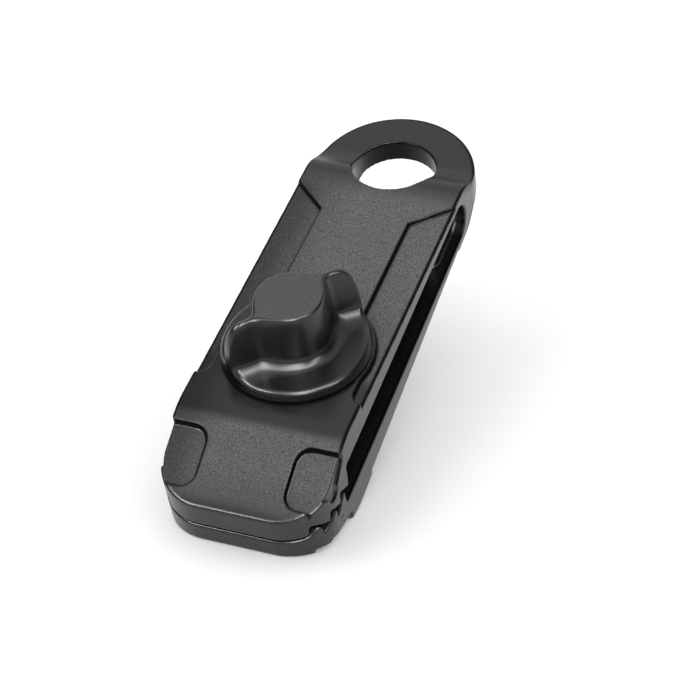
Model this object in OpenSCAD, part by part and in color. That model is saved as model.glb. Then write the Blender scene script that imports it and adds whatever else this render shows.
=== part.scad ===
// Screw-down tarp clip: an eye plate with two toothed jaws, closed by a winged thumb knob.
// Millimetres. The origin is the centre of the eye, +Y points to the eye's end and +Z to the knob.
// Distances named "from the eye" run forward, to the front lip, along -Y.

/* [Body] */
// Width across the jaws
body_w = 34.3; // [30:0.1:40]
// Front lip, from the eye
reach = 93.7; // [90:0.1:104]
// Eye centre to the end of the eye ring
eye_end = 16.2; // [14:0.1:20]
// Radius of the eye hole
eye_hole_r = 8.75; // [6:0.25:9.5]
// Thickness of the eye plate
eye_t = 5; // [3.8:0.2:6]
// Foot of the sloping shoulder behind the jaws, from the eye
shoulder_at = -0.5; // [-1:0.1:2]
// Length of the sloping shoulder
shoulder_run = 3.7; // [1.5:0.1:4]
// Height of a jaw's outer face above the mid-plane at the shoulder
shoulder_h = 6; // [5.6:0.05:7]
// Height of a jaw's outer face above the mid-plane at the crease
crease_h = 10.65; // [9.6:0.05:12]
// Crease where the face turns down, back from the front lip
crease_back = 18.2; // [17:0.1:20]
// Height of the front lip's edge above the mid-plane
lip_h = 4.4; // [3.6:0.1:6]
// Extra depth of the lower jaw at its lip, which grows from the bend forward
lower_extra = 1.5; // [0:0.1:2]
// Plan radius of the front corners
corner_r = 10; // [5:0.5:12]
// Clear height between the jaws
mouth_h = 8.4; // [7:0.1:9]

/* [Root] */
// Width of the web that joins the jaws behind the mouth
web_w = 29; // [24:0.5:30]
// Front end of the web, from the eye
web_end = 19.4; // [19:0.1:22]
// Plan radius of the web's front corners
web_corner_r = 3; // [1:0.5:4]
// End of the side pocket beside the web, from the eye
pocket_end = 5.3; // [4.5:0.1:7]

/* [Flex hinge] */
// Axis of the upper jaw's bend, from the eye
hinge_at = 18.6; // [17.5:0.1:18.8]
// Height of that axis above the jaw's inner face
hinge_rise = 1.1; // [1:0.05:1.2]
// Radius of the rolled end that turns in the root
knuckle_r = 0.9; // [0.7:0.05:0.95]
// Radial clearance of the rolled end
knuckle_clear = 0.06; // [0.03:0.01:0.1]
// Groove left open across the top for the bend
groove_w = 0.5; // [0.45:0.05:0.8]
// Rear wall of that groove, ahead of the bend's axis
groove_ahead = 0.35; // [0.3:0.05:0.5]
// Thickness of the neck that carries the rolled end
neck_t = 1.1; // [0.8:0.05:1.2]
// Angle of the fully opened upper jaw
open_angle = 8.5; // [5:0.5:9]

/* [Teeth] */
// Number of teeth on the upper jaw
tooth_count = 4; // [3:1:4]
// Distance between teeth
tooth_pitch = 4.4; // [4:0.1:4.6]
// Height of a tooth from root to tip
tooth_h = 2.4; // [2:0.1:2.8]
// Flat at a tooth's tip
tooth_flat = 0.5; // [0.3:0.1:0.8]
// Lean of a tooth's steep face
tooth_lean = 0.3; // [0.1:0.1:0.5]
// Steep face of the front tooth, back from the front lip
tooth_front = 2.9; // [2.4:0.1:3.4]
// Depth of the upper teeth and lip below the mid-plane
tooth_drop = 1; // [0.6:0.1:1.4]
// Gap between the closed front lips
lip_gap = 0.6; // [0.4:0.05:0.9]
// Tips of the lower teeth below the mid-plane
lower_tip = 0.4; // [0.3:0.05:0.7]
// Height of a lower tooth from root to tip
lower_tooth_h = 2.6; // [2.2:0.1:3]

/* [Side strips] */
// Half width between the sunk side strips
strip_in = 9.5; // [7:0.5:12]
// Strip's slanted rear end at the side face, from the eye
strip_rear = 10.6; // [9:0.2:13]
// Length of the slanted rear end
strip_slant = 6.9; // [4:0.1:8]
// Front end of the strips, from the eye
strip_front = 67; // [64:0.5:70]
// Width of a strip beside the knob
strip_nose = 2.4; // [1.5:0.1:3]
// Depth of a strip at its rear
strip_d_rear = 0.7; // [0.3:0.1:0.8]
// Depth of a strip at its front
strip_d_front = 1.2; // [0.6:0.1:1.6]
// Width of the plain land left round the knob
land_w = 1.3; // [0.8:0.1:2]

/* [Corner pads] */
// Half width between the sunk corner pads
pad_in = 9; // [7:0.5:11]
// Rear edge of the pads, back from the front lip
pad_rear = 14.9; // [13:0.1:16]
// Front edge of the pads, back from the front lip
pad_front = 3.3; // [2.5:0.1:5]
// Corner radius of the pads
pad_r = 3; // [1.5:0.5:4]
// Depth of the pads
pad_d = 1; // [0.4:0.1:1.2]

/* [Knob] */
// Point where the screw's axis leaves the jaw's face square to it, from the eye
screw_at = 56.3; // [52:0.1:57]
// Radius of the knob's disc
disc_r = 14.6; // [12:0.1:15.5]
// Thickness of the disc
disc_t = 2; // [1.8:0.1:3]
// Rounding of the disc's rim
rim_r = 0.8; // [0.4:0.1:0.9]
// Height of the flat thumb boss above the disc
boss_h = 11.8; // [8:0.2:14]
// Radius of the flat thumb boss
boss_r = 6.7; // [6:0.1:8]
// Half width of a wing's crest
wing_w = 0.65; // [0.5:0.05:1.4]
// Angle at which the wings leave the boss
wing_angle = 60; // [0:1:180]
// Backward sweep of a wing between the boss and the rim
wing_sweep = 9; // [0:1:25]
// Spread of a wing's wall, as a multiple of the boss wall's
wing_spread = 2; // [1:0.1:3]
// Steepness of the finger scoops' walls
scoop_draft = 88; // [80:1:89]
// Radius of the round foot of those walls
scoop_r = 1.8; // [1.5:0.1:3]
// Size of the soft inner corner between the boss and a wing
valley = 3; // [2:0.1:6]
// Size of the soft edge along the crest
crest_edge = 0.6; // [0.2:0.1:1]
// Part of the crest beyond the boss that stays level
crest_level = 2.8; // [0:0.1:6]
// Margin between the wings' foot and the rim
wing_margin = 0.3; // [0.2:0.1:1]

/* [Screw] */
// Radius of the screw
screw_r = 3; // [2.5:0.25:3.5]
// Length of screw below the lower jaw when closed
screw_below = 6.4; // [5:0.1:10]
// Radius of the screw's head inside the knob
head_r = 4.6; // [4.2:0.1:5]
// Height of the screw's head
head_t = 5; // [3:0.5:6]
// Plastic between the washer's recess and the screw's head
head_rise = 2.5; // [2:0.1:3]
// Chamfer at the screw's tip
tip_chamfer = 0.75; // [0.5:0.05:1]
// Radius of the washer
washer_r = 7; // [6:0.5:7.5]
// Thickness of the washer
washer_t = 1.2; // [0.8:0.1:1.4]
// Part of the washer below the disc
washer_proud = 0.25; // [0.2:0.05:0.3]
// Width of the nut across its flats
nut_af = 10; // [9:0.5:11]
// Thickness of the nut
nut_t = 3.2; // [2.5:0.1:3.4]
// Floor of the lower jaw above the nut
nut_floor = 1.6; // [1.2:0.1:1.8]

/* [Clearances] */
// Radial gap of the screw in the washer and the lower jaw
screw_gap = 0.3; // [0.2:0.05:0.5]
// Radial gap of the screw in the nut
thread_gap = 0.05; // [0.02:0.01:0.1]
// Gap round the nut in its pocket
nut_gap = 0.1; // [0.05:0.05:0.2]
// Gap between the washer and what it lies against
washer_gap = 0.05; // [0.02:0.01:0.1]
// Spare length of the upper jaw's screw slot when fully open
slot_spare = 0.3; // [0.2:0.05:0.6]

/* [Hidden] */
$fn = 64;

half_w = body_w / 2;
half_mouth = mouth_h / 2;
crease_at = reach - crease_back;
shoulder_top = shoulder_at + shoulder_run;
face_slope = (crease_h - shoulder_h) / (crease_at - shoulder_top);
front_slope = (crease_h - lip_h) / crease_back;
// Surplus of a cut beyond the face that it opens
over = 1;
high = crease_h + lower_extra + over;

// Height of a jaw's outer face above the mid-plane at a distance from the eye
function face_h(at) = shoulder_h + face_slope * (at - shoulder_top);
function front_h(at) = crease_h - front_slope * (at - crease_at);
// Depth that the lower jaw has beyond the upper one
function lower_drop(at, extra = lower_extra) = extra * max(0, at - hinge_at) / (reach - hinge_at);
function strip_d(at) =
    strip_d_rear + (strip_d_front - strip_d_rear) * (at - strip_rear) / (strip_front - strip_rear);

hinge_z = half_mouth + hinge_rise;
groove_rear = hinge_at + groove_ahead;
groove_front = groove_rear + groove_w;

// The screw stands square to the upper face, and these heights run along it from that face
lean = atan(face_slope);
face_z = face_h(screw_at);
disc_z = washer_gap + washer_proud;
recess_t = washer_t - washer_proud + washer_gap;
head_z = disc_z + recess_t + head_rise;
nut_z = -face_z - half_mouth - nut_floor;
screw_tip = -2 * face_z - lower_drop(screw_at) - screw_below;
// Forward travel of the screw in the upper jaw as that jaw swings open
hinge_arm = screw_at - hinge_at;
slot_run = (face_z - hinge_z) * tan(open_angle) + hinge_arm * (1 / cos(open_angle) - 1)
    - hinge_arm * sin(open_angle) * face_slope + slot_spare;

// Tooth lines run forward from the mouth to the lip, as [distance from the eye, height]
tooth_at = [for (k = [tooth_count - 1:-1:0]) reach - tooth_front - k * tooth_pitch];
upper_teeth = [for (k = [0:tooth_count - 1])
    let (at = tooth_at[k], last = k == tooth_count - 1) each concat(
        [[at - tooth_lean, k == 0 ? half_mouth : tooth_h - tooth_drop], [at, -tooth_drop]],
        last ? [] : [[at + tooth_flat, -tooth_drop]])];
lower_lip = -tooth_drop - lip_gap;
lower_teeth = [for (k = [0:tooth_count - 2])
    let (at = tooth_at[k] + tooth_pitch / 2, root = -lower_tip - lower_tooth_h) each [
        [at - tooth_lean, k == 0 ? -half_mouth : root],
        [at, -lower_tip],
        [at + tooth_flat, -lower_tip]]];
lower_front = [[reach - tooth_front, lower_lip]];

// Places the screw and what turns on it: the origin lies on the upper face, +Z runs along the screw
module on_screw() {
    translate([0, -screw_at, face_z]) rotate([-lean, 0, 0]) children();
}

// Turns an outline of [distance from the eye, height] into a slab across the width
module across(outline, width) {
    rotate([90, 0, 90])
        linear_extrude(width, center = true)
            polygon([for (p = outline) [-p[0], p[1]]]);
}

// Plan of the whole body: the eye's round end, straight sides and rounded front corners
module plan_slab(from, to) {
    front_y = corner_r - reach;
    translate([0, 0, from]) {
        translate([0, eye_end - half_w, 0]) cylinder(to - from, r = half_w);
        translate([-half_w, front_y, 0]) cube([body_w, eye_end - half_w - front_y, to - from]);
        translate([corner_r - half_w, -reach, 0])
            cube([body_w - 2 * corner_r, corner_r + over, to - from]);
        for (side = [-1, 1])
            translate([side * (half_w - corner_r), front_y, 0]) cylinder(to - from, r = corner_r);
    }
}

// Plan of one sunk side strip, on the +X side
module strip_plan() {
    difference() {
        union() {
            polygon([
                [strip_in, -strip_rear - strip_slant],
                [half_w, -strip_rear],
                [half_w + over, -strip_rear],
                [half_w + over, strip_nose - strip_front],
                [half_w - strip_nose, strip_nose - strip_front],
                [half_w - strip_nose, -screw_at],
                [strip_in, -screw_at]]);
            translate([half_w, strip_nose - strip_front]) circle(strip_nose);
        }
        translate([0, -screw_at]) circle(disc_r + land_w);
    }
}

// Plan of one sunk corner pad, on the +X side
module pad_plan() {
    depth = pad_rear - pad_front;
    translate([pad_in, -reach + pad_front]) {
        translate([pad_r, 0]) square([half_w, depth]);
        translate([0, pad_r]) square([half_w, depth - 2 * pad_r]);
        for (y = [pad_r, depth - pad_r])
            translate([pad_r, y]) circle(pad_r);
    }
}

// Everything cut from a jaw's outer face: strips and corner pads on both sides
module face_cuts(extra) {
    for (side = [0, 1])
        mirror([side, 0, 0]) {
            intersection() {
                linear_extrude(high) strip_plan();
                across(concat(
                    [for (at = [strip_rear - over, hinge_at, strip_front + over])
                        [at, face_h(at) + lower_drop(at, extra) - strip_d(at)]],
                    [[strip_front + over, high + over], [strip_rear - over, high + over]]),
                    body_w + 4 * over);
            }
            intersection() {
                linear_extrude(high) pad_plan();
                across(concat(
                    [for (at = [crease_at, reach + over])
                        [at, front_h(at) + lower_drop(at, extra) - pad_d]],
                    [[reach + over, high + over], [crease_at, high + over]]),
                    body_w + 4 * over);
            }
        }
}

// The lower jaw's outer side outline, from the shoulder to the front lip
lower_outline = [
    for (p = [
        [shoulder_at, eye_t / 2],
        [shoulder_top, shoulder_h],
        [hinge_at, face_h(hinge_at)],
        [crease_at, crease_h],
        [reach, lip_h]])
    [p[0], -p[1] - lower_drop(p[0])]];

// Hole through the eye, whose front half also cuts the rear ends of the jaws
module eye_hole() {
    cylinder(2 * high, r = eye_hole_r, center = true);
}

// Side pockets that carry the mouth's round end back past the web
module side_pockets() {
    depth = half_w - web_w / 2 + over;
    round_at = pocket_end + half_mouth;
    for (side = [0, 1])
        mirror([side, 0, 0])
            translate([web_w / 2, 0, 0]) {
                translate([0, -round_at, 0]) rotate([0, 90, 0]) cylinder(depth, r = half_mouth);
                translate([0, -web_end - over, -half_mouth])
                    cube([depth, web_end + over - round_at, mouth_h]);
            }
}

// The mouth in front of the web, with the web's front corners rounded
module mouth() {
    difference() {
        translate([-half_w - over, -reach - over, -half_mouth])
            cube([body_w + 2 * over, reach + over - web_end + web_corner_r, mouth_h]);
        for (side = [-1, 1])
            translate([side * (web_w / 2 - web_corner_r), -web_end + web_corner_r, -half_mouth - over])
                cylinder(mouth_h + 2 * over, r = web_corner_r);
        translate([web_corner_r - web_w / 2, -web_end, -half_mouth - over])
            cube([web_w - 2 * web_corner_r, web_corner_r + over, mouth_h + 2 * over]);
    }
}

// Socket and groove that let the upper jaw bend away from the root
module hinge_space() {
    translate([0, -hinge_at, hinge_z])
        rotate([0, 90, 0]) cylinder(body_w + 2 * over, r = knuckle_r + knuckle_clear, center = true);
}

module clip_body() {
    color("#1d1d1f")
        difference() {
            intersection() {
                plan_slab(-high, high);
                union() {
                    // Eye plate
                    translate([-half_w, -shoulder_top, -eye_t / 2])
                        cube([body_w, shoulder_top + eye_end, eye_t]);
                    // Root of the upper jaw, as far as the bend
                    across([
                        [shoulder_at, 0],
                        [shoulder_at, eye_t / 2],
                        [shoulder_top, shoulder_h],
                        [groove_rear, face_h(groove_rear)],
                        [groove_rear, 0]], body_w);
                    // Web and lower jaw
                    across(concat(
                        [[shoulder_at, 0]],
                        lower_outline,
                        [[reach, lower_lip]],
                        lower_front,
                        [for (k = [len(lower_teeth) - 1:-1:0]) lower_teeth[k]],
                        [[web_end + over, -half_mouth], [web_end + over, 0]]), body_w);
                }
            }
            eye_hole();
            side_pockets();
            // Mouth between the web and the first tooth
            intersection() {
                mouth();
                translate([-body_w, -tooth_at[0], -high]) cube([2 * body_w, tooth_at[0], 2 * high]);
            }
            hinge_space();
            face_cuts(0);
            mirror([0, 0, 1]) face_cuts(lower_extra);
            // Screw hole and nut pocket
            on_screw() translate([0, 0, nut_z - high]) {
                cylinder(high + nut_floor + half_mouth, r = screw_r + screw_gap);
                cylinder(high, r = (nut_af / 2 + nut_gap) / cos(30), $fn = 6);
            }
        }
}

module upper_jaw() {
    color("#222225")
        difference() {
            union() {
                intersection() {
                    plan_slab(-high, high);
                    across(concat(
                        [[groove_front, half_mouth], [groove_front, face_h(groove_front)],
                         [crease_at, crease_h], [reach, lip_h], [reach, -tooth_drop]],
                        [for (k = [len(upper_teeth) - 1:-1:0]) upper_teeth[k]]), body_w);
                }
                // Rolled end and its neck
                translate([0, -hinge_at, hinge_z]) {
                    rotate([0, 90, 0]) cylinder(body_w, r = knuckle_r, center = true);
                    translate([-half_w, hinge_at - groove_front - over, -neck_t / 2])
                        cube([body_w, groove_front - hinge_at + over, neck_t]);
                }
            }
            face_cuts(0);
            // Screw hole, drawn out forward for the tilt of the open jaw
            on_screw() translate([0, 0, -face_z]) {
                cylinder(face_z + over, r = screw_r + screw_gap);
                translate([0, -slot_run, 0]) cylinder(face_z + over, r = screw_r + screw_gap);
                translate([-screw_r - screw_gap, -slot_run, 0])
                    cube([2 * (screw_r + screw_gap), slot_run, face_z + over]);
            }
        }
}

// Wing surface: rings of points round the knob's axis, crowded where the walls stand steep
wing_out = disc_r - wing_margin;
wall_steps = 9;
rim_steps = 8;
turn_steps = 18;
crowding = 1.7;
foot_h = scoop_r * (1 - cos(scoop_draft));
foot_run = scoop_r * sin(scoop_draft);
foot_at = (boss_h - foot_h) / tan(scoop_draft);
scoop = foot_at + foot_run;
wing_rings = concat(
    [boss_r / 2],
    [for (k = [0:wall_steps - 1]) boss_r + scoop * pow(k / wall_steps, crowding)],
    [for (k = [0:rim_steps]) boss_r + scoop + (wing_out - boss_r - scoop) * k / rim_steps]);
quarter = [for (k = [0:turn_steps - 1]) 90 * pow(k / turn_steps, crowding)];
half_turn = concat(quarter, [90], [for (k = [turn_steps - 1:-1:1]) 180 - quarter[k]]);
wing_angles = concat(half_turn, [for (a = half_turn) 180 + a]);

// Blends two distances into one with a soft corner of the given size
function soft_min(a, b, size) =
    let (h = max(size - abs(a - b), 0) / size) min(a, b) - h * h * size / 4;
// Height of the crest, which falls away to the rim in a full round
function crest(r) =
    let (from = boss_r + crest_level, s = max(0, (r - from) / (disc_r - from)))
    boss_h * pow(max(0, 1 - s * s * s), 1 / 3);
// Height of a scoop's wall at a distance outside the crest: a steep face on a round foot
function scoop_wall(d) =
    let (left = min(max(scoop - d, 0), foot_run))
    scoop_r - sqrt(scoop_r * scoop_r - left * left) + max(foot_at - d, 0) * tan(scoop_draft);
// Angle from the nearer wing's crest, in degrees
function off_wing(a) = let (b = a % 180) b > 90 ? 180 - b : b;
function wing_h(r, a) =
    let (beside = r * off_wing(a) * PI / 180 - wing_w)
    let (beyond = soft_min(r - boss_r, beside / wing_spread, valley))
    max(0, soft_min(crest(r), scoop_wall(beyond), crest_edge));
function swept(r, a) =
    a + wing_angle - wing_sweep * max(0, r - boss_r) / (disc_r - boss_r);

module wing() {
    rings = len(wing_rings);
    count = len(wing_angles);
    sink = disc_t / 2;
    top = [for (r = wing_rings, a = wing_angles)
        [r * cos(swept(r, a)), r * sin(swept(r, a)), wing_h(r, a)]];
    edge = [for (a = wing_angles)
        [wing_out * cos(swept(wing_out, a)), wing_out * sin(swept(wing_out, a)), -sink]];
    base = 1 + rings * count;
    foot = base + count;
    points = concat([[0, 0, boss_h]], top, edge, [[0, 0, -sink]]);
    faces = [for (j = [0:count - 1]) let (k = (j + 1) % count) each concat(
        [[0, 1 + k, 1 + j]],
        [for (i = [0:rings - 1])
            let (a = 1 + i * count + j, b = 1 + i * count + k, c = b + count, d = a + count) each
                [[a, b, c], [a, c, d]]],
        [[foot, base + j, base + k]])];
    polyhedron(points, faces);
}

// Outline of a revolved disc with rounded rims, as [radius, height]
function disc_outline(r, t, round_r) = concat(
    [[0, 0]],
    [for (a = [-90:15:0]) [r - round_r + round_r * cos(a), round_r + round_r * sin(a)]],
    [for (a = [0:15:90]) [r - round_r + round_r * cos(a), t - round_r + round_r * sin(a)]],
    [[0, t]]);

module thumb_knob() {
    color("#141416")
        on_screw() translate([0, 0, disc_z])
            difference() {
                union() {
                    rotate_extrude() polygon(disc_outline(disc_r, disc_t, rim_r));
                    translate([0, 0, disc_t]) wing();
                }
                // Washer recess and the moulded seat of the screw
                translate([0, 0, -over]) cylinder(recess_t + over, r = washer_r + screw_gap);
                cylinder(head_z + head_t / 2 - disc_z, r = screw_r);
                translate([0, 0, head_z - disc_z]) cylinder(head_t, r = head_r);
            }
}

module screw_stud() {
    color("#b9bcc0")
        on_screw()
            rotate_extrude()
                polygon([
                    [0, screw_tip],
                    [screw_r - tip_chamfer, screw_tip],
                    [screw_r, screw_tip + tip_chamfer],
                    [screw_r, head_z],
                    [head_r, head_z],
                    [head_r, head_z + head_t],
                    [0, head_z + head_t]]);
}

module washer() {
    color("#c4c6c9")
        on_screw() translate([0, 0, washer_gap])
            difference() {
                cylinder(washer_t, r = washer_r);
                translate([0, 0, -over]) cylinder(washer_t + 2 * over, r = screw_r + screw_gap);
            }
}

module hex_nut() {
    color("#b0b3b8")
        on_screw() translate([0, 0, nut_z - nut_t])
            difference() {
                cylinder(nut_t, r = nut_af / 2 / cos(30), $fn = 6);
                translate([0, 0, -over]) cylinder(nut_t + 2 * over, r = screw_r + thread_gap);
            }
}

clip_body();
upper_jaw();
thumb_knob();
screw_stud();
washer();
hex_nut();
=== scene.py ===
"""Dresses the tarp clip: one black moulding with its upper jaw cut out as its own shell, a winged knob and
its steel screw.
"""

import math

import bmesh
import bpy
import numpy as np
from mathutils import Euler, Matrix, Vector


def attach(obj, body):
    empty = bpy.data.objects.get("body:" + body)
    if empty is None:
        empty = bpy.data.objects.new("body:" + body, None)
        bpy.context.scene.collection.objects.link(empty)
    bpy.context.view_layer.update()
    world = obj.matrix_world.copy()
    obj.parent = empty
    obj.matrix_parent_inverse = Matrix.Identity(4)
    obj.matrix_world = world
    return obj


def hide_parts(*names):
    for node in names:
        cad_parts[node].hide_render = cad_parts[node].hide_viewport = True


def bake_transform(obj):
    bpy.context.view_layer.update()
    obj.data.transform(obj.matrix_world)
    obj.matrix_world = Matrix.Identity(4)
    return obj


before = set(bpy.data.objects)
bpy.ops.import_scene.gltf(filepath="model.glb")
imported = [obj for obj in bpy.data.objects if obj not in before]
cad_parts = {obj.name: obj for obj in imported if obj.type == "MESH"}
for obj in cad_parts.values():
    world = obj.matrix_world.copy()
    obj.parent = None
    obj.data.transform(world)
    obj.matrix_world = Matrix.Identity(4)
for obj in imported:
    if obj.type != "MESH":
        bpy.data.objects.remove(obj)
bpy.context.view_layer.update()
MM = 0.001

# Sizes of the moulding in millimetres, in the frame of the eye's centre
HALF_W = 17.15
REACH = 93.7
EYE_END = 16.2
EYE_HOLE_R = 8.75
EYE_T = 5.0
SHOULDER_AT = -0.5
SHOULDER_TOP = 3.2
SHOULDER_H = 6.0
CREASE_AT = 75.5
CREASE_H = 10.65
LIP_H = 4.4
CORNER_R = 10.0
MOUTH_HALF = 4.2
WEB_HALF = 14.5
WEB_END = 19.4
WEB_CORNER_R = 3.0
POCKET_AT = 9.5
FACE_SLOPE = (CREASE_H - SHOULDER_H) / (CREASE_AT - SHOULDER_TOP)
FRONT_SLOPE = (CREASE_H - LIP_H) / (REACH - CREASE_AT)
LOWER_FROM = 18.6
LOWER_EXTRA = 1.5
LOWER_SLOPE = LOWER_EXTRA / (REACH - LOWER_FROM)

# Teeth
TOOTH_COUNT = 4
TOOTH_PITCH = 4.4
TOOTH_H = 2.4
LOWER_TOOTH_H = 2.6
TOOTH_FLAT = 0.5
TOOTH_LEAN = 0.3
TOOTH_FRONT = 2.9
TOOTH_DROP = 1.0
LIP_GAP = 0.6
LOWER_TIP = 0.4

# Sunk side strips and corner pads
STRIP_IN = 9.5
STRIP_REAR = 10.6
STRIP_SLANT = 6.9
STRIP_FRONT = 67.0
STRIP_NOSE = 2.4
STRIP_D_REAR = 0.7
STRIP_D_FRONT = 1.2
LAND_R = 15.4
PAD_IN = 9.0
PAD_REAR = 14.9
PAD_FRONT = 3.3
PAD_R = 3.0
PAD_D = 1.0
SIDE_PAD_D = 0.5
SIDE_PAD_AT = 84.1
SIDE_PAD_Z = 4.4
SIDE_PAD_R = 1.9

# Roundings of the moulding
EDGE_R = 0.45
CREASE_R = 1.2
SHOULDER_R = 1.8
SHOULDER_FOOT_R = 2.4
STRIP_EDGE_R = 0.2
STRIP_FOOT_R = 0.2
PAD_FOOT_R = 0.4
HOLE_EDGE_R = 0.12
MOUTH_EDGE_R = 0.25
MOUTH_PASSES = 2
WEB_FOOT_R = 0.6
BORE_EDGE_R = 0.3

# Screw, nut and washer, whose heights run along the screw from the upper face
SCREW_AT = 56.3
SCREW_R = 3.0
SCREW_HOLE_R = 3.3
SCREW_BELOW = 6.4
SCREW_CHAMFER = 0.75
SCREW_IN_KNOB = 1.5
SLOT_RUN = 1.0
THREAD_PITCH = 1.0
THREAD_D = 0.55
THREAD_BOW = 0.7
NUT_AF = 10.0
NUT_T = 3.2
NUT_GAP = 0.1
NUT_FLOOR = 1.6
WASHER_R = 7.0
WASHER_T = 1.2
WASHER_Z = 0.05
WASHER_EDGE_R = 0.25
FACE_Z = SHOULDER_H + FACE_SLOPE * (SCREW_AT - SHOULDER_TOP)
NUT_Z = -FACE_Z - MOUTH_HALF - NUT_FLOOR
SCREW_TIP = -2 * FACE_Z - LOWER_SLOPE * (SCREW_AT - LOWER_FROM) - SCREW_BELOW

# Knob, with angles in degrees; its disc lies DISC_Z above the upper face, and BOSS_H is above the disc
DISC_Z = 0.3
DISC_R = 14.6
DISC_T = 2.0
RIM_R = 1.1
RIM_IN = 0.1
RIM_FLARE = 25.0
RIM_AT = DISC_R - RIM_IN - RIM_R
FOOT_R = 0.3
BOSS_H = 11.8
BOSS_R = 6.7
CREST_LEVEL = 2.8
WING_W = 0.65
WING_ANGLE = 60.0
WING_SWEEP = 9.0
WING_SPREAD = 2.0
VALLEY = 3.0
SCOOP_R = 2.4
WALL_DRAFT = 88.0
CREST_EDGE = 0.6
RECESS_R = 7.3
RECESS_D = 1.0
RECESS_BORE_R = 2.8

# Nets of the moulding and the knob as (start, end, step) stretches, finest where edges and walls lie
GRID_MARGIN = 1.0
GRID_SIDE = ((HALF_W + GRID_MARGIN, 15.6, 0.2), (15.6, 10.6, 0.4), (10.6, 8.2, 0.2), (8.2, 0.0, 0.55))
GRID_LENGTH = ((-REACH - GRID_MARGIN, -40.0, 0.3), (-40.0, -21.0, 0.7), (-21.0, EYE_END + GRID_MARGIN, 0.3))
GRID_HEIGHT = ((-CREASE_H - LOWER_EXTRA - GRID_MARGIN, CREASE_H + GRID_MARGIN, 0.27),)
KNOB_CORE = (0.12, 0.3, 0.5, 0.7)  # shares of the boss's radius
KNOB_NEAR = BOSS_R + 0.6
KNOB_FAR = BOSS_R + 3.0
KNOB_RADII = ((BOSS_R - 0.8, KNOB_NEAR, 0.05), (KNOB_NEAR, KNOB_FAR, 0.12), (KNOB_FAR, RIM_AT, 0.16))
KNOB_TURNS = ((0.0, 0.04, 0.01), (0.04, 0.34, 0.0075), (0.34, math.pi / 2, 0.035))  # radians from a crest

# Sloping cut through the root that parts the upper shell from the body
CUT_TOP_AT = 8.6
CUT_END_AT = WEB_END + 1.5
CUT_END_Z = MOUTH_HALF - 0.6
CUT_REACH = 26.0
CUT_DISTANCE = 1e-4

# Zones of grain and of painted shade: where each starts and where it is full, in millimetres or, for a rise,
# as the normal's Z
SKIN_LEVEL = (-2.2, -1.8)
FLAT_RISE = (0.9, 0.935)
GRAIN_BORDER = (0.3, 0.8)
GRAIN_REAR = (5.0, 13.0)
GRAIN_STRIP = (0.15, 0.6)
GRAIN_PAD = (0.2, 0.8)
GRAIN_LIP = (0.5, 5.5)
GRAIN_LAND = (LAND_R - 0.3, LAND_R + 0.3)
BAND_REAR = (58.0, 63.0)
BAND_FRONT = (CREASE_AT - 0.4, CREASE_AT + 2.6)
# Painted shade, darker and less glossy: along outer borders, in sunk lines, on the eye's far wall, the
# shoulder, the left side and the front slope
SHADE_BORDER = (0.45, 0.8)
SHADE_RISE = (0.25, 0.6)
SHADE_LIP = (4.0, 9.0)
SHADE_STRIP = (0.05, 0.4)
SHADE_PAD = (0.1, 0.5)
SHADE_BORE = (0.15, 0.5)
SHADE_BORE_SIDE = (-1.0, 6.0)
SHADE_BORE_AMOUNT = 0.8
SHADE_SHOULDER_REAR = (SHOULDER_AT - 3.0, SHOULDER_AT)
SHADE_SHOULDER_FRONT = (SHOULDER_TOP, SHOULDER_TOP + 4.0)
SHADE_SHOULDER_AMOUNT = 0.7
# Painted shade that darkens the left side and the front slope
SHADE_LEFT = ((0.4, 2.0, 16.0), (0.2, 9.0, 15.0))  # amount, start and end of each rise
SHADE_SLOPE = ((0.12, CREASE_AT, CREASE_AT + 4.0), (0.2, REACH - 10.0, REACH - 2.0))
KNOB_GRAIN = (BOSS_H - 0.06, BOSS_H - 0.005)
# Painted shade on the side of the knob's disc
KNOB_SHADE_RUN = 0.1
KNOB_SHADE_RISE = (0.0, 0.5)
KNOB_SHADE_AMOUNT = 0.75

# Looks of polished and grained plastic with its painted shade, and of zinc plate
NOISE_MIDDLE = (0.3, 0.7)
SPECKLE_RANGE = (0.32, 0.68)
POLISHED_TONE = (0.7, 1.3)
POLISHED_ROUGH = (-0.015, 0.02)
POLISHED_BUMP = 0.06
POLISHED_SHINE = 0.5
GRAINED_ROUGH = (0.5, 0.7)
GRAINED_SHINE = 0.08
SHADE_TONE = 0.5
SHADE_SHINE = 0.06
BLUE_TINT = 1.04
ZINC_DARK = (0.5, 0.51, 0.53, 1)
ZINC_LIGHT = (0.68, 0.69, 0.71, 1)
ZINC_ROUGH = (0.25, 0.42)
CURTAIN_BLACK = (0.01, 0.01, 0.01, 1)
WHITE = (1, 1, 1, 1)

# Camera as in the photograph, and the slope on which the clip rests
CAMERA_AT = Vector((0.1449, -0.3195, 0.3459))
CAMERA_AZIMUTH = math.radians(27.21)
CAMERA_ELEVATION = math.radians(48.24)
CAMERA_ROLL = math.radians(-9.97)
CAMERA_LENS = 124.04
CAMERA_SENSOR = 36.0
CAMERA_CLIP = (0.01, 20.0)
FLOOR_SLOPE = FRONT_SLOPE - LOWER_SLOPE
FLOOR_HALF = 2.0
FLOOR_LIFT = 0.12
ROOM_LIGHT = 0.95

# Lamps as place and size in metres and power in watts, which all face one place on the clip
AIM = Vector((0, -0.04, 0))
KEY = ((-0.55, -0.09, 0.83), (0.5, 0.5), 1.5)
SOFTBOXES = {
    "front_softbox": ((-0.335, -0.4, 0.56), (0.16, 0.3), 4.0),
    "high_softbox": ((0.18, -0.39, 0.64), (0.2, 0.7), 7.5),
    "side_softbox": ((0.46, -0.16, 0.58), (0.14, 0.7), 4.0),
}

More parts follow.
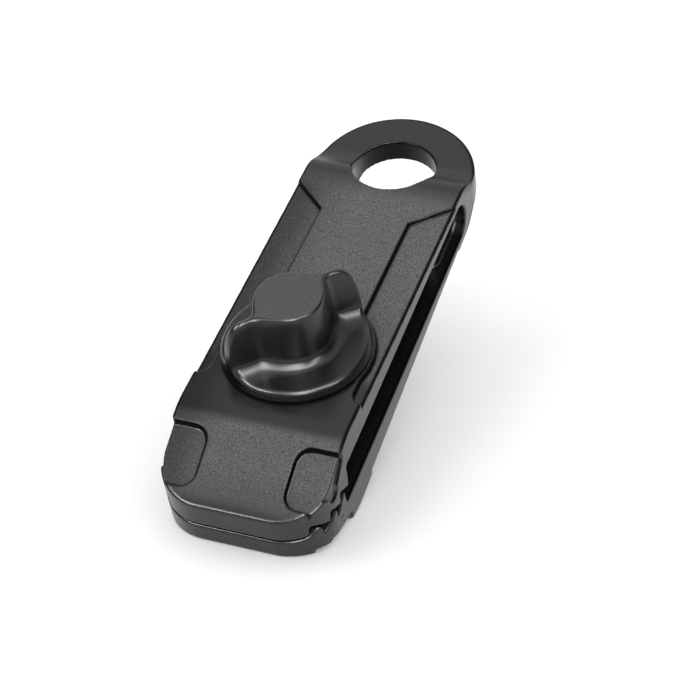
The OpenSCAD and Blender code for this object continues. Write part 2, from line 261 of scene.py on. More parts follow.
# Dark curtain in metres, with its reach round the clip and upward, and its fades, in degrees
CURTAIN_R = 1.2
CURTAIN_Y = -0.05
CURTAIN_ROUND = (130.0, 440.0)
CURTAIN_UP = (-10.0, 70.0)
CURTAIN_START = (130.0, 165.0)
CURTAIN_END = (400.0, 435.0)
CURTAIN_TOP = (25.0, 60.0)
CURTAIN_SHADE = 0.95


# Distances, nets and meshes


def round_max(a, b, r):
    """The part inside both shapes, with their shared edge rounded."""
    outside = np.hypot(np.maximum(a + r, 0), np.maximum(b + r, 0))
    return np.minimum(np.maximum(a, b), -r) + outside


def round_min(a, b, r):
    """Both shapes together, with a fillet where they meet."""
    return -round_max(-a, -b, r)


def soft_min(a, b, size):
    """The smaller of two distances, with a soft corner of the given size."""
    h = np.maximum(size - np.abs(a - b), 0) / size
    return np.minimum(a, b) - h * h * size / 4


def step_up(value, start, end):
    """Smooth rise from 0 to 1 between start and end."""
    t = np.clip((value - start) / (end - start), 0, 1)
    return t * t * (3 - 2 * t)


def steps_up(value, steps):
    """Sum of smooth rises, each given as (amount, start, end)."""
    return sum(amount * step_up(value, start, end) for amount, start, end in steps)


def polygon_distance(points, p, q):
    """Signed distance to a closed outline, negative inside it."""
    nearest = np.full(np.broadcast(p, q).shape, np.inf)
    inside = np.zeros(nearest.shape, bool)
    for (x0, y0), (x1, y1) in zip(points, points[1:] + points[:1]):
        dx, dy = x1 - x0, y1 - y0
        along = np.clip(((p - x0) * dx + (q - y0) * dy) / (dx * dx + dy * dy), 0, 1)
        nearest = np.minimum(nearest, np.hypot(p - x0 - along * dx, q - y0 - along * dy))
        if dy:
            inside ^= ((y0 > q) != (y1 > q)) & (p < x0 + (q - y0) / dy * dx)
    return np.where(inside, -nearest, nearest)


def hexagon(x, y, across):
    """Distance to a hexagon with a corner on the X axis."""
    sides = [np.abs(x * math.cos(a) + y * math.sin(a)) for a in np.radians((30, 90, 150))]
    return np.maximum(np.maximum(sides[0], sides[1]), sides[2]) - across / 2


def soften(field, passes):
    """Rounds every corner of a flat field by averaging neighbours."""
    for _ in range(passes):
        padded = np.pad(field, 1, mode="edge")
        beside = padded[2:, 1:-1] + padded[:-2, 1:-1] + padded[1:-1, 2:] + padded[1:-1, :-2]
        field = (4 * field + beside) / 8
    return field


def spread(*stretches):
    """Grid lines from (start, end, step) stretches that follow on from each other."""
    parts = [np.linspace(a, b, max(2, round(abs(b - a) / step) + 1))[:-1] for a, b, step in stretches]
    return np.concatenate(parts + [[stretches[-1][1]]])


def surface_net(field, lines):
    """Points and outward quads of the surface where a field on a box grid changes sign."""
    shape = np.array(field.shape) - 1
    inside = field < 0
    edges = []
    total = np.zeros((int(shape.prod()), 4))
    for axis in range(3):
        first = [slice(None)] * 3
        second = [slice(None)] * 3
        first[axis], second[axis] = slice(None, -1), slice(1, None)
        start = np.argwhere(inside[tuple(first)] != inside[tuple(second)])
        end = start.copy()
        end[:, axis] += 1
        f0, f1 = field[tuple(start.T)], field[tuple(end.T)]
        point = np.stack([lines[k][start[:, k]] for k in range(3)], 1)
        step = lines[axis][end[:, axis]] - lines[axis][start[:, axis]]
        point[:, axis] += step * f0 / (f0 - f1)
        u, v = (axis + 1) % 3, (axis + 2) % 3
        cells = []
        for back_u, back_v in ((1, 1), (0, 1), (0, 0), (1, 0)):
            cell = start.copy()
            cell[:, u] -= back_u
            cell[:, v] -= back_v
            cells.append(np.ravel_multi_index(tuple(cell.T), shape))
        quads = np.stack(cells, 1)
        quads[f0 > 0] = quads[f0 > 0][:, ::-1]
        edges.append(quads)
        for cell in cells:
            for k in range(3):
                total[:, k] += np.bincount(cell, point[:, k], len(total))
            total[:, 3] += np.bincount(cell, minlength=len(total))
    used = np.flatnonzero(total[:, 3])
    number = np.zeros(len(total), int)
    number[used] = np.arange(len(used))
    return total[used, :3] / total[used, 3:], number[np.concatenate(edges)]


def net_faces(rings, count):
    """Faces of a closed net of rings of points, with a single point before the first and after the last."""
    faces = [(0, 1 + j, 1 + (j + 1) % count) for j in range(count)]
    for i in range(rings - 1):
        base = 1 + i * count
        for j in range(count):
            k = (j + 1) % count
            faces.append((base + j, base + count + j, base + count + k, base + k))
    last = 1 + (rings - 1) * count
    return faces + [(last + (j + 1) % count, last + j, last + count) for j in range(count)]


def add_object(name, data):
    """A new object in the scene."""
    made = bpy.data.objects.new(name, data)
    bpy.context.scene.collection.objects.link(made)
    return made


def new_piece(name, points, faces, material):
    """A smooth mesh object from points in millimetres."""
    mesh = bpy.data.meshes.new(name)
    mesh.from_pydata((np.asarray(points) * MM).tolist(), [], [list(map(int, f)) for f in faces])
    mesh.shade_smooth()
    mesh.materials.append(material)
    return add_object(name, mesh)


def store(mesh, name, values):
    """Keeps one number for each point of a mesh, which its material reads by name."""
    numbers = mesh.attributes.new(name, "FLOAT", "POINT").data
    numbers.foreach_set("value", np.asarray(values, np.float32))


# Moulding


def face_h(at):
    """Height of the long sloping upper face."""
    return SHOULDER_H + FACE_SLOPE * (at - SHOULDER_TOP)


def front_h(at):
    """Height of the steeper slope down to the lip."""
    return CREASE_H - FRONT_SLOPE * (at - CREASE_AT)


def lower_drop(at):
    """How much deeper the lower jaw is than the upper one."""
    return LOWER_SLOPE * np.maximum(at - LOWER_FROM, 0)


def jaw_profile(at, height):
    """Side outline of the moulding as it would be without its mouth."""
    plate = height - EYE_T / 2
    rise, run = SHOULDER_H - EYE_T / 2, SHOULDER_TOP - SHOULDER_AT
    shoulder = (plate * run - (at - SHOULDER_AT) * rise) / math.hypot(rise, run)
    face = (height - face_h(at)) / math.hypot(1, FACE_SLOPE)
    front = (height - front_h(at)) / math.hypot(1, FRONT_SLOPE)
    jaw = round_max(round_max(shoulder, face, SHOULDER_R), front, CREASE_R)
    return round_min(plate, jaw, SHOULDER_FOOT_R)


def plan_outline(side, at):
    """Plan of the moulding: a round end at the eye and two rounded front corners."""
    eye = np.hypot(side, at + EYE_END - HALF_W) - HALF_W
    jaws = round_max(side - HALF_W, at - REACH, CORNER_R)
    return np.where(at < HALF_W - EYE_END, eye, jaws)


def strip_plan(side, at):
    """Plan of a sunk strip along one side."""
    run = HALF_W - STRIP_IN
    slant = -((side - STRIP_IN) * STRIP_SLANT + (at - STRIP_REAR - STRIP_SLANT) * run)
    rear = np.maximum(STRIP_IN - side, slant / math.hypot(run, STRIP_SLANT))
    land = LAND_R - np.hypot(side, at - SCREW_AT)
    nose = np.hypot(side - HALF_W, np.maximum(at - STRIP_FRONT + STRIP_NOSE, 0)) - STRIP_NOSE
    nose = np.where(side > HALF_W, np.maximum(at - STRIP_FRONT, nose), nose)
    return np.maximum(np.maximum(rear, land), np.minimum(at - SCREW_AT, nose))


def pad_plan(side, at):
    """Plan of a sunk corner pad on one side."""
    half = (PAD_REAR - PAD_FRONT) / 2
    middle = REACH - PAD_FRONT - half
    return round_max(PAD_IN - side, np.abs(at - middle) - half, PAD_R)


def side_pad_profile(at, height):
    """Outline of a pad's recess where it runs down the side wall to a round end."""
    half = (PAD_REAR - PAD_FRONT) / 2
    along = np.clip((height - SIDE_PAD_Z) / (front_h(SIDE_PAD_AT) - SIDE_PAD_Z), 0, 1)
    reach = SIDE_PAD_R + (half - SIDE_PAD_R) * along
    end = np.hypot(at - SIDE_PAD_AT, height - SIDE_PAD_Z) - SIDE_PAD_R
    return np.where(height < SIDE_PAD_Z, end, np.abs(at - SIDE_PAD_AT) - reach)


def mouth_profile(at, z):
    """Side outline of the gap between the jaws, with its round rear end and the teeth."""
    steep = [REACH - TOOTH_FRONT - k * TOOTH_PITCH for k in reversed(range(TOOTH_COUNT))]
    beyond = REACH + CORNER_R
    upper = [(POCKET_AT, MOUTH_HALF)]
    for k, tip in enumerate(steep):
        upper.append((tip - TOOTH_LEAN, TOOTH_H - TOOTH_DROP if k else MOUTH_HALF))
        upper.append((tip, -TOOTH_DROP))
        upper.append((tip + TOOTH_FLAT, -TOOTH_DROP))
    lower = [(POCKET_AT, -MOUTH_HALF)]
    for k, tip in enumerate(steep[:-1]):
        tip += TOOTH_PITCH / 2
        lower.append((tip - TOOTH_LEAN, -LOWER_TIP - LOWER_TOOTH_H if k else -MOUTH_HALF))
        lower.append((tip, -LOWER_TIP))
        lower.append((tip + TOOTH_FLAT, -LOWER_TIP))
    lip = [(steep[-1], -TOOTH_DROP - LIP_GAP), (beyond, -TOOTH_DROP - LIP_GAP)]
    outline = upper + [(beyond, -TOOTH_DROP)] + (lower + lip)[::-1]
    slot = polygon_distance(outline, at, z)
    return np.minimum(slot, np.hypot(at - POCKET_AT, z) - MOUTH_HALF)


def moulding_field(x, y, z):
    """Signed distance to the whole moulding on the grid of three sets of lines."""
    side, at, up = np.abs(x)[:, None], -y[None, :], z[None, :]
    lane = -y[:, None]
    height = np.where(up < 0, -up - lower_drop(lane), up)

    def tall(plan):
        return plan[:, :, None]

    def wide(profile):
        return profile[None, :, :]

    plan = tall(plan_outline(side, at))
    solid = round_max(plan, wide(jaw_profile(lane, height)), EDGE_R)
    solid = round_max(solid, -tall(np.hypot(side, at) - EYE_HOLE_R), HOLE_EDGE_R)

    # Sunk strips, and pads that also run down the side walls
    depth = STRIP_D_REAR + (STRIP_D_FRONT - STRIP_D_REAR) * (lane - STRIP_REAR) / (STRIP_FRONT - STRIP_REAR)
    strip = round_max(tall(strip_plan(side, at)), wide(face_h(lane) - depth - height), STRIP_FOOT_R)
    pad = round_max(tall(pad_plan(side, at)), wide(front_h(lane) - PAD_D - height), PAD_FOOT_R)
    side_pad = round_max(-plan - SIDE_PAD_D, wide(side_pad_profile(lane, height)), PAD_FOOT_R)
    solid = round_max(solid, -strip, STRIP_EDGE_R)
    solid = round_max(solid, -np.minimum(pad, side_pad), STRIP_EDGE_R)

    # Mouth with its teeth, closed at the rear by the web
    web = round_max(side - WEB_HALF, at - WEB_END, WEB_CORNER_R)
    mouth = round_max(wide(soften(mouth_profile(lane, up), MOUTH_PASSES)), -tall(web), WEB_FOOT_R)
    solid = round_max(solid, -mouth, MOUTH_EDGE_R)

    # Screw hole, drawn out forward in the upper jaw, and the nut's pocket
    lean = math.atan(FACE_SLOPE)
    above = up - FACE_Z
    ahead = wide((lane - SCREW_AT) * math.cos(lean) + above * math.sin(lean))
    along = wide(above * math.cos(lean) - (lane - SCREW_AT) * math.sin(lean))
    drawn = np.where(wide(up + 0 * lane) > 0, np.clip(ahead, 0, SLOT_RUN), 0)
    hole = np.hypot(x[:, None, None], ahead - drawn) - SCREW_HOLE_R
    solid = round_max(solid, -hole, BORE_EDGE_R)
    pocket = hexagon(x[:, None, None], ahead, NUT_AF + 2 * NUT_GAP)
    return round_max(solid, -np.maximum(pocket, along - NUT_Z), BORE_EDGE_R)


def mark_grain_and_shade(mesh):
    """Stores on the moulding how much spark grain and how much painted shade each point has."""
    count = len(mesh.vertices)
    place, normal = np.empty(count * 3), np.empty(count * 3)
    mesh.vertices.foreach_get("co", place)
    mesh.vertices.foreach_get("normal", normal)
    x, y, z = place.reshape(-1, 3).T / MM
    rise = normal.reshape(-1, 3)[:, 2]
    side, at = np.abs(x), -y
    skin = step_up(jaw_profile(at, np.where(z < 0, -z - lower_drop(at), z)), *SKIN_LEVEL)
    flat = step_up(np.abs(rise), *FLAT_RISE)
    rear = step_up(at, *GRAIN_REAR)
    inward = -plan_outline(side, at)
    strip, pad = np.abs(strip_plan(side, at)), np.abs(pad_plan(side, at))

    # Grain on flat outer faces, but not at borders and sunk lines, on the smooth band or on the knob's seat
    band = step_up(at, *BAND_REAR) * (1 - step_up(at, *BAND_FRONT))
    clear = step_up(strip, *GRAIN_STRIP) * step_up(pad, *GRAIN_PAD)
    border = step_up(inward, *GRAIN_BORDER) * step_up(REACH - at, *GRAIN_LIP)
    land = step_up(np.hypot(side, at - SCREW_AT), *GRAIN_LAND)
    store(mesh, "grain", skin * flat * rear * (1 - band) * clear * border * land)

    # Painted shade, darker and less glossy: borders, sunk lines, rear wall of the eye, shoulder, left side
    # and front slope
    border = (1 - step_up(inward, *SHADE_BORDER)) * step_up(rise, *SHADE_RISE) * step_up(REACH - at, *SHADE_LIP)
    lines = 1 - np.minimum(step_up(strip, *SHADE_STRIP), step_up(pad, *SHADE_PAD))
    bore = 1 - step_up(np.hypot(side, at) - EYE_HOLE_R, *SHADE_BORE)
    eye = SHADE_BORE_AMOUNT * bore * step_up(y, *SHADE_BORE_SIDE)
    shoulder = step_up(at, *SHADE_SHOULDER_REAR) * (1 - step_up(at, *SHADE_SHOULDER_FRONT))
    faces = np.maximum(steps_up(-x, SHADE_LEFT) * rear, steps_up(at, SHADE_SLOPE)) * flat
    outer = np.max([lines * (z > 0), SHADE_SHOULDER_AMOUNT * shoulder, faces], 0) * skin
    store(mesh, "groove", np.max([border, eye, outer], 0))


def cut_root(mesh):
    """The moulding's mesh, cut open on one slope through the root, and the points of its upper shell."""
    top = Vector((0, -CUT_TOP_AT, face_h(CUT_TOP_AT))) * MM
    end = Vector((0, -CUT_END_AT, CUT_END_Z)) * MM
    normal = Vector((1, 0, 0)).cross(top - end).normalized()
    bm = bmesh.new()
    bm.from_mesh(mesh)
    rear = [f for f in bm.faces if f.calc_center_median().y > -CUT_REACH * MM]
    edges = dict.fromkeys(e for f in rear for e in f.edges)
    points = dict.fromkeys(v for f in rear for v in f.verts)
    cut = bmesh.ops.bisect_plane(bm, geom=[*rear, *edges, *points], dist=CUT_DISTANCE * MM, plane_co=top,
                                 plane_no=normal)
    line = [g for g in cut["geom_cut"] if isinstance(g, bmesh.types.BMEdge)]
    bmesh.ops.split_edges(bm, edges=line)

    # The shell is all that hangs together with the point that lies highest and farthest forward
    tip = max(bm.verts, key=lambda v: v.co.z - v.co.y)
    shell, front = {tip}, [tip]
    while front:
        for edge in front.pop().link_edges:
            for v in edge.verts:
                if v not in shell:
                    shell.add(v)
                    front.append(v)
    return bm, shell


def closed_part(name, bm, points, material):
    """A piece of a cut mesh with only the given points, its cut closed by a sharp-edged face."""
    part = bm.copy()
    part.verts.ensure_lookup_table()
    drop = [part.verts[v.index] for v in bm.verts if v not in points]
    bmesh.ops.delete(part, geom=drop, context="VERTS")
    rim = [e for e in part.edges if e.is_boundary]
    bmesh.ops.holes_fill(part, edges=rim, sides=0)
    for face in part.faces:
        face.smooth = True
    for edge in rim:
        edge.smooth = False
    mesh = bpy.data.meshes.new(name)
    part.to_mesh(mesh)
    part.free()
    mesh.materials.append(material)
    mark_grain_and_shade(mesh)
    return add_object(name, mesh)


def make_moulding(material):
    """The body with the eye and lower jaw, and the upper jaw's whole top shell, cut from one mesh."""
    half = spread(*GRID_SIDE)
    lines = (np.concatenate([-half, half[-2::-1]]), spread(*GRID_LENGTH), spread(*GRID_HEIGHT))
    whole = new_piece("moulding", *surface_net(moulding_field(*lines), lines), material)
    bm, shell = cut_root(whole.data)
    body = closed_part("body_moulding", bm, set(bm.verts) - shell, material)
    upper = closed_part("upper_shell", bm, shell, material)
    bm.free()
    bpy.data.objects.remove(whole)
    return body, upper


# Knob, stud, nut and washer


def on_screw(points):
    """Places points of the screw's own frame, whose Z is the screw's axis, square to the upper face."""
    x, y, z = np.asarray(points, float).T
    lean = math.atan(FACE_SLOPE)
    return np.stack([x, y * math.cos(lean) + z * math.sin(lean) - SCREW_AT,
                     z * math.cos(lean) - y * math.sin(lean) + FACE_Z], 1)


def wing_height(r, turn):
    """Height of the thumb boss and wings above the disc; turn is the angle from the nearer crest."""
    start = BOSS_R + CREST_LEVEL
    fall = np.clip((r - start) / (DISC_R - start), 0, 1)
    crest = BOSS_H * np.cbrt(1 - fall ** 3)
    beyond = soft_min(r - BOSS_R, (r * turn - WING_W) / WING_SPREAD, VALLEY)
    draft = math.radians(WALL_DRAFT)
    foot_h = SCOOP_R * (1 - math.cos(draft))
    foot_run = SCOOP_R * math.sin(draft)
    foot_at = (BOSS_H - foot_h) / math.tan(draft)

    # Steep wall on a round foot
    left = np.clip(foot_at + foot_run - beyond, 0, foot_run)
    wall = SCOOP_R - np.sqrt(SCOOP_R ** 2 - left ** 2) + np.maximum(foot_at - beyond, 0) * math.tan(draft)

    # Round edge where the wall reaches the crest
    low = np.minimum(crest, foot_h)
    reached = foot_at + foot_run - np.sqrt(SCOOP_R ** 2 - (SCOOP_R - low) ** 2)
    reached = reached - np.maximum(crest - foot_h, 0) / math.tan(draft)
    edge = np.minimum(CREST_EDGE, crest / 2)
    bow = np.clip(beyond - reached + edge * math.tan(draft / 2), 0, edge * math.sin(draft))
    rounded = crest - edge + np.sqrt(edge ** 2 - bow ** 2)
    return np.maximum(np.minimum(rounded, np.where(beyond > reached, wall, crest)), 0)


def disc_side():
    """Rounded rim of the knob's disc, its flaring side and its rounded foot, as rows of radius and height."""
    rim_steps, side_steps, foot_steps = 7, 6, 6
    flare = math.radians(90 - RIM_FLARE)
    bow = np.linspace(0, flare, rim_steps + 1)[1:]
    rim = np.stack([RIM_AT + RIM_R * np.sin(bow), DISC_T - RIM_R + RIM_R * np.cos(bow)], 1)
    last_r, last_h = rim[-1]
    bend_h = FOOT_R + FOOT_R * math.cos(flare)
    bend_r = last_r + (last_h - bend_h) / math.tan(flare)
    side = np.linspace((last_r, last_h), (bend_r, bend_h), side_steps + 1)[1:]
    bow = np.linspace(flare, math.pi, foot_steps + 1)[1:]
    foot = np.stack([bend_r + FOOT_R * (np.sin(bow) - math.sin(flare)), FOOT_R + FOOT_R * np.cos(bow)], 1)
    return rim, side, foot


def make_knob(material):
    """Disc with a rounded rim, flat thumb boss and two swept wings, on one net of rings."""
    quarter = spread(*KNOB_TURNS)[:-1]
    half = np.concatenate([quarter, [math.pi / 2], math.pi - quarter[:0:-1]])
    angle = np.concatenate([half, half + math.pi])
    turn = np.abs((angle + math.pi / 2) % math.pi - math.pi / 2)
    count = len(angle)

    # Rings from the boss outward, over the rim, and back under the disc to the washer's recess
    rim, side, foot = disc_side()
    inner = np.concatenate([BOSS_R * np.array(KNOB_CORE), spread(*KNOB_RADII)])
    rings = [(r, DISC_T + wing_height(r, turn)) for r in inner]
    rings += [(r, h + wing_height(r, turn)) for r, h in np.concatenate([rim, side])]
    rings += [tuple(row) for row in foot]
    rings += [(RECESS_R, 0), (RECESS_R, RECESS_D), (RECESS_BORE_R, RECESS_D)]
    points = [(0, 0, DISC_T + BOSS_H)]
    for r, h in rings:
        sweep = math.radians(WING_SWEEP) * np.clip((r - BOSS_R) / (DISC_R - BOSS_R), 0, 1)
        a = angle + math.radians(WING_ANGLE) - sweep
        points += zip(r * np.cos(a), r * np.sin(a), h + 0 * a)
    points.append((0, 0, RECESS_D))
    places = on_screw(np.array(points) + (0, 0, DISC_Z))
    piece = new_piece("winged_knob", places, net_faces(len(rings), count), material)

    # Grain on the flat crests, and painted shade on the side of the disc
    grain, groove = np.zeros(len(points)), np.zeros(len(points))
    grain[0] = 1.0
    side_from = rim[-1][0]
    for i, (r, h) in enumerate(rings):
        ring = slice(1 + i * count, 1 + (i + 1) * count)
        level = np.broadcast_to(h, angle.shape) - DISC_T
        if r < RIM_AT:
            grain[ring] = step_up(level, *KNOB_GRAIN)
        outside = step_up(r, side_from - KNOB_SHADE_RUN, side_from + KNOB_SHADE_RUN)
        groove[ring] = KNOB_SHADE_AMOUNT * outside * (1 - step_up(level, *KNOB_SHADE_RISE))
    store(piece.data, "grain", grain)
    store(piece.data, "groove", groove)
    return piece


def make_stud(material):
    """Metric screw with a rolled thread, from the knob down to its chamfered tip."""
    count, rings_per_turn = 48, 12
    top = DISC_Z + SCREW_IN_KNOB
    height = np.linspace(SCREW_TIP, top, int((top - SCREW_TIP) / THREAD_PITCH * rings_per_turn))
    angle = np.linspace(0, 2 * math.pi, count, endpoint=False)
    points = [(0, 0, SCREW_TIP)]
    for h in height:
        crest = 0.5 + 0.5 * np.cos(2 * math.pi * h / THREAD_PITCH - angle)
        r = SCREW_R - THREAD_D * (1 - crest ** THREAD_BOW)
        r = np.minimum(r, SCREW_R - SCREW_CHAMFER + h - SCREW_TIP)
        points += zip(r * np.cos(angle), r * np.sin(angle), h + 0 * angle)
    points.append((0, 0, top))
    upward = [face[::-1] for face in net_faces(len(height), count)]
    return new_piece("threaded_stud", on_screw(points), upward, material)


def make_nut(material):
    """Hexagon nut with chamfered corners and a countersunk bore."""
    margin, step = 0.5, 0.14
    edge_r, fine_r = 0.15, 0.1
    corner_out, corner_slope, corner_scale = 0.1, 1.7, 2.0
    bore_gap, sink, sink_scale = 0.05, 0.45, 1.4
    wide, high = NUT_AF / math.sqrt(3) + margin, NUT_T / 2 + margin
    x = y = spread((-wide, wide, step))
    z = spread((-high, high, step))
    px, py = x[:, None, None], y[None, :, None]
    lift = np.abs(z[None, None, :]) - NUT_T / 2
    radius = np.hypot(px, py)
    nut = round_max(hexagon(px, py, NUT_AF), lift, edge_r)
    chamfer = (radius - NUT_AF / 2 - corner_out + lift * corner_slope) / corner_scale
    bore = np.minimum(radius - SCREW_R - bore_gap, (radius - SCREW_R - sink - lift) / sink_scale)
    nut = round_max(round_max(nut, chamfer, fine_r), -bore, fine_r)
    points, quads = surface_net(nut, (x, y, z))
    return new_piece("nut", on_screw(points + (0, 0, NUT_Z - NUT_T / 2)), quads, material)


def make_washer(material):
    """Flat washer with rolled edges."""
    count, bend_points = 72, 5
    middle, half = WASHER_Z + WASHER_T / 2, WASHER_T / 2
    outer, inner, bend = WASHER_R, SCREW_HOLE_R, WASHER_EDGE_R
    bow = np.linspace(0, math.pi / 2, bend_points)
    corner = np.stack([np.sin(bow), np.cos(bow)], 1) * bend
    profile = [(outer - bend + a, half - bend + b) for a, b in corner]
    profile += [(r, -h) for r, h in reversed(profile)]
    profile += [(inner + bend - a, -half + bend - b) for a, b in corner]
    profile += [(inner + bend - a, half - bend + b) for a, b in corner[::-1]]
    size = len(profile)
    points, faces = [], []
    for j in range(count):
        a = 2 * math.pi * j / count
        points += [(r * math.cos(a), r * math.sin(a), middle + h) for r, h in profile]
        k = (j + 1) % count
        for i in range(size):
            n = (i + 1) % size
            faces.append((j * size + i, j * size + n, k * size + n, k * size + i))
    return new_piece("flat_washer", on_screw(points), faces, material)


# Materials


def feed(tree, socket, value):
    """Links another node's output to a socket, or sets the socket to a plain value."""
    if hasattr(value, "is_output"):
        tree.links.new(value, socket)
    else:
        socket.default_value = value


def add_node(tree, kind, **inputs):
    """A new node with its inputs fed; their names have underscores for spaces."""
    node = tree.nodes.new(kind)
    for key, value in inputs.items():
        feed(tree, node.inputs[key.replace("_", " ")], value)
    return node


def node_material(name):
    """A new material with its node tree and shader."""
    material = bpy.data.materials.new(name)
    material.use_nodes = True
    return material, material.node_tree, material.node_tree.nodes["Principled BSDF"]


def ramp(tree, value, reach, source=(0.0, 1.0)):
    """Maps a value from its source range to a new reach."""
    node = add_node(tree, "ShaderNodeMapRange", Value=value, From_Min=source[0], From_Max=source[1],
                    To_Min=reach[0], To_Max=reach[1])
    return node.outputs["Result"]


def mixed(tree, kind, factor, a, b):
    """A mix of two numbers, kind FLOAT, or of two colours, kind RGBA."""
    node = add_node(tree, "ShaderNodeMix")
    node.data_type = kind
    suffix = "Float" if kind == "FLOAT" else "Color"
    sockets = {socket.identifier: socket for socket in node.inputs}
    feed(tree, sockets["Factor_Float"], factor)
    feed(tree, sockets["A_" + suffix], a)
    feed(tree, sockets["B_" + suffix], b)
    return next(s for s in node.outputs if s.identifier == "Result_" + suffix)


def stored(tree, name):
    """The number that a mesh keeps for each point under a name."""
    node = add_node(tree, "ShaderNodeAttribute")
    node.attribute_name = name
    return node.outputs["Fac"]


def noise(tree, scale, detail, roughness):
    """Clouds of noise that stay with the object."""
    where = add_node(tree, "ShaderNodeTexCoord").outputs["Object"]
    node = add_node(tree, "ShaderNodeTexNoise", Vector=where, Scale=scale, Detail=detail, Roughness=roughness)
    return node.outputs["Fac"]


def grey(level):
    """A grey with a trace of blue."""
    return (level, level, level * BLUE_TINT, 1)


def plastic(name, bare, grained, contrast, rough, grain_depth, grain_scale):
    """Black plastic: smooth where the mould was polished, speckled where spark grained, darker and less
    glossy where shade is painted on.
    """
    material, tree, shader = node_material(name)
    amount, shade_share = stored(tree, "grain"), stored(tree, "groove")
    cloud = noise(tree, scale=110.0, detail=4.0, roughness=0.6)
    grain = noise(tree, scale=grain_scale, detail=2.0, roughness=0.6)
    speckle = ramp(tree, grain, (0.0, 1.0), SPECKLE_RANGE)
    polished = mixed(tree, "RGBA", cloud, *[grey(bare * tone) for tone in POLISHED_TONE])
    sparked = mixed(tree, "RGBA", speckle, grey(grained * (1 - contrast)), grey(grained * (1 + contrast)))
    surface = mixed(tree, "RGBA", amount, polished, sparked)
    # Painted shade: a darker colour and weaker specular where the mesh marks it
    feed(tree, shader.inputs["Base Color"], mixed(tree, "RGBA", shade_share, surface, grey(bare * SHADE_TONE)))
    sheen = ramp(tree, cloud, [rough + change for change in POLISHED_ROUGH], NOISE_MIDDLE)
    matte = ramp(tree, grain, GRAINED_ROUGH, NOISE_MIDDLE)
    feed(tree, shader.inputs["Roughness"], mixed(tree, "FLOAT", amount, sheen, matte))
    shine = ramp(tree, amount, (POLISHED_SHINE, GRAINED_SHINE))
    feed(tree, shader.inputs["Specular IOR Level"], mixed(tree, "FLOAT", shade_share, shine, SHADE_SHINE))
    height = mixed(tree, "FLOAT", amount, ramp(tree, grain, (0.0, POLISHED_BUMP)), grain)
    bump = add_node(tree, "ShaderNodeBump", Height=height, Strength=1.0, Distance=grain_depth * MM)
    feed(tree, shader.inputs["Normal"], bump.outputs["Normal"])
    return material


def zinc_steel():
    """Bright zinc plate with small cloudy spots."""
    material, tree, shader = node_material("zinc_steel")
    cloud = noise(tree, scale=600.0, detail=3.0, roughness=0.5)
    feed(tree, shader.inputs["Base Color"], mixed(tree, "RGBA", cloud, ZINC_DARK, ZINC_LIGHT))
    feed(tree, shader.inputs["Roughness"], ramp(tree, cloud, ZINC_ROUGH, NOISE_MIDDLE))
    feed(tree, shader.inputs["Metallic"], 1.0)
    return material


# Stage, lights and camera


def seen_rays(tree):
    """1 for rays from the camera and those that show in reflections or through glass, else 0."""
    path = add_node(tree, "ShaderNodeLightPath")
    seen = path.outputs["Is Camera Ray"]
    for kind in ("Is Glossy Ray", "Is Transmission Ray"):
        either = add_node(tree, "ShaderNodeMath")
        either.operation = "MAXIMUM"
        feed(tree, either.inputs[0], seen)
        feed(tree, either.inputs[1], path.outputs[kind])
        seen = either.outputs[0]
    return seen


def pale_floor():
    """White floor from above, lifted a little where it is seen, and clear from below."""
    material, tree, shader = node_material("pale_floor")
    feed(tree, shader.inputs["Base Color"], WHITE)
    feed(tree, shader.inputs["Roughness"], 1.0)
    feed(tree, shader.inputs["Specular IOR Level"], 0.0)
    feed(tree, shader.inputs["Emission Color"], WHITE)
    feed(tree, shader.inputs["Emission Strength"], ramp(tree, seen_rays(tree), (0.0, FLOOR_LIFT)))
    clear = add_node(tree, "ShaderNodeBsdfTransparent")
    two_sided = add_node(tree, "ShaderNodeMixShader")
    feed(tree, two_sided.inputs[0], add_node(tree, "ShaderNodeNewGeometry").outputs["Backfacing"])
    feed(tree, two_sided.inputs[1], shader.outputs[0])
    feed(tree, two_sided.inputs[2], clear.outputs[0])
    feed(tree, tree.nodes["Material Output"].inputs["Surface"], two_sided.outputs[0])
    return material


def make_floor():
    """Sloping floor under the clip, which lies on its front underside and on the screw's end."""
    drop = CREASE_H + lower_drop(CREASE_AT) + FLOOR_SLOPE * (CREASE_AT - SCREW_AT)
    corners = [(x * FLOOR_HALF, y * FLOOR_HALF, 0) for x, y in ((-1, -1), (1, -1), (1, 1), (-1, 1))]
    mesh = bpy.data.meshes.new("floor")
    mesh.from_pydata(corners, [], [(0, 1, 2, 3)])
    mesh.materials.append(pale_floor())
    floor = add_object("floor", mesh)
    floor.location = Vector((0, -SCREW_AT, -drop)) * MM
    floor.rotation_euler = Euler((-math.atan(FLOOR_SLOPE), 0, 0))


def make_world():
    """White room, seen as it is by the camera and in reflections, that lights the clip from all round."""
    world = bpy.data.worlds.new("studio")
    bpy.context.scene.world = world
    world.use_nodes = True
    tree = world.node_tree
    background = tree.nodes["Background"]
    feed(tree, background.inputs["Color"], WHITE)
    feed(tree, background.inputs["Strength"], ramp(tree, seen_rays(tree), (ROOM_LIGHT, 1.0)))


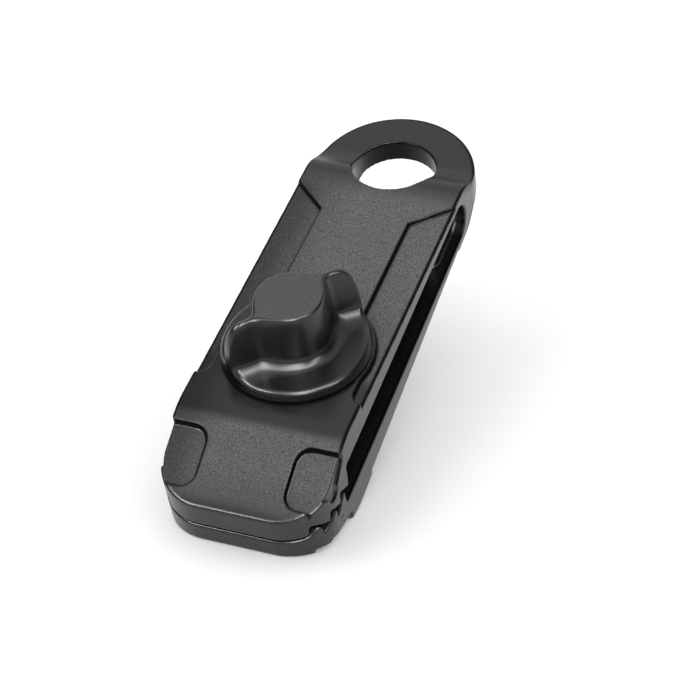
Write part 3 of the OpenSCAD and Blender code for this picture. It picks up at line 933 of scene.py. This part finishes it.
def make_curtain():
    """Dark curtain round the camera's side of the room, seen only in reflections, fading out overhead."""
    rows, columns = 12, 32
    points, shade, faces = [], [], []
    for i, up in enumerate(np.linspace(*CURTAIN_UP, rows + 1)):
        out, high = CURTAIN_R * math.cos(math.radians(up)), CURTAIN_R * math.sin(math.radians(up))
        for j, around in enumerate(np.linspace(*CURTAIN_ROUND, columns + 1)):
            turn = math.radians(around)
            points.append((out * math.cos(turn), out * math.sin(turn) + CURTAIN_Y, high))
            ends = step_up(around, *CURTAIN_START) * (1 - step_up(around, *CURTAIN_END))
            shade.append(CURTAIN_SHADE * ends * (1 - step_up(up, *CURTAIN_TOP)))
            if i < rows and j < columns:
                first = i * (columns + 1) + j
                faces.append((first, first + 1, first + columns + 2, first + columns + 1))
    mesh = bpy.data.meshes.new("dark_curtain")
    mesh.from_pydata(points, [], faces)
    mesh.shade_smooth()
    store(mesh, "shade", shade)
    material, tree, shader = node_material("curtain")
    feed(tree, shader.inputs["Base Color"], CURTAIN_BLACK)
    feed(tree, shader.inputs["Specular IOR Level"], 0.0)
    feed(tree, shader.inputs["Alpha"], stored(tree, "shade"))
    mesh.materials.append(material)
    curtain = add_object("dark_curtain", mesh)
    curtain.visible_camera = False
    curtain.visible_diffuse = False
    curtain.visible_shadow = False
    curtain.visible_transmission = False


def area_light(name, place, size, power):
    """Rectangular lamp that faces the clip."""
    light = bpy.data.lights.new(name, "AREA")
    light.shape = "RECTANGLE"
    light.size, light.size_y = size
    light.energy = power
    lamp = add_object(name, light)
    lamp.location = place
    lamp.rotation_euler = (AIM - Vector(place)).to_track_quat("-Z", "Y").to_euler()
    return lamp


def make_lights():
    """Key light that gives no reflections, and softboxes that only show in them."""
    area_light("key", *KEY).visible_glossy = False
    for name, values in SOFTBOXES.items():
        area_light(name, *values).visible_diffuse = False


def make_camera():
    """Camera at the photograph's place, with its lens and its lean."""
    data = bpy.data.cameras.new("camera")
    data.lens, data.sensor_width = CAMERA_LENS, CAMERA_SENSOR
    data.clip_start, data.clip_end = CAMERA_CLIP
    camera = add_object("camera", data)
    level = Euler((math.pi / 2 - CAMERA_ELEVATION, 0, CAMERA_AZIMUTH)).to_matrix().to_4x4()
    camera.matrix_world = Matrix.Translation(CAMERA_AT) @ level @ Matrix.Rotation(CAMERA_ROLL, 4, "Z")
    bpy.context.scene.camera = camera


# Scene

make_camera()
make_world()
make_floor()
make_curtain()
make_lights()

grained = plastic("grained_plastic", bare=0.006, grained=0.118, contrast=0.6, rough=0.27, grain_depth=0.05,
                  grain_scale=4000.0)
satin = plastic("satin_plastic", bare=0.003, grained=0.086, contrast=0.2, rough=0.3, grain_depth=0.015,
                grain_scale=3000.0)
steel = zinc_steel()

body, shell = make_moulding(grained)
knob = make_knob(satin)
stud = make_stud(steel)
nut = make_nut(steel)
washer = make_washer(steel)

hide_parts("clip_body")
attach(body, "body")
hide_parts("upper_jaw")
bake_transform(shell)
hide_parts("thumb_knob")
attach(knob, "knob")
hardware = ((stud, "screw_stud", "knob"), (nut, "hex_nut", "body"), (washer, "washer", "slider"))
for piece, node, body_name in hardware:
    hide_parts(node)
    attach(piece, body_name)

bpy.context.scene.view_settings.view_transform = "Standard"
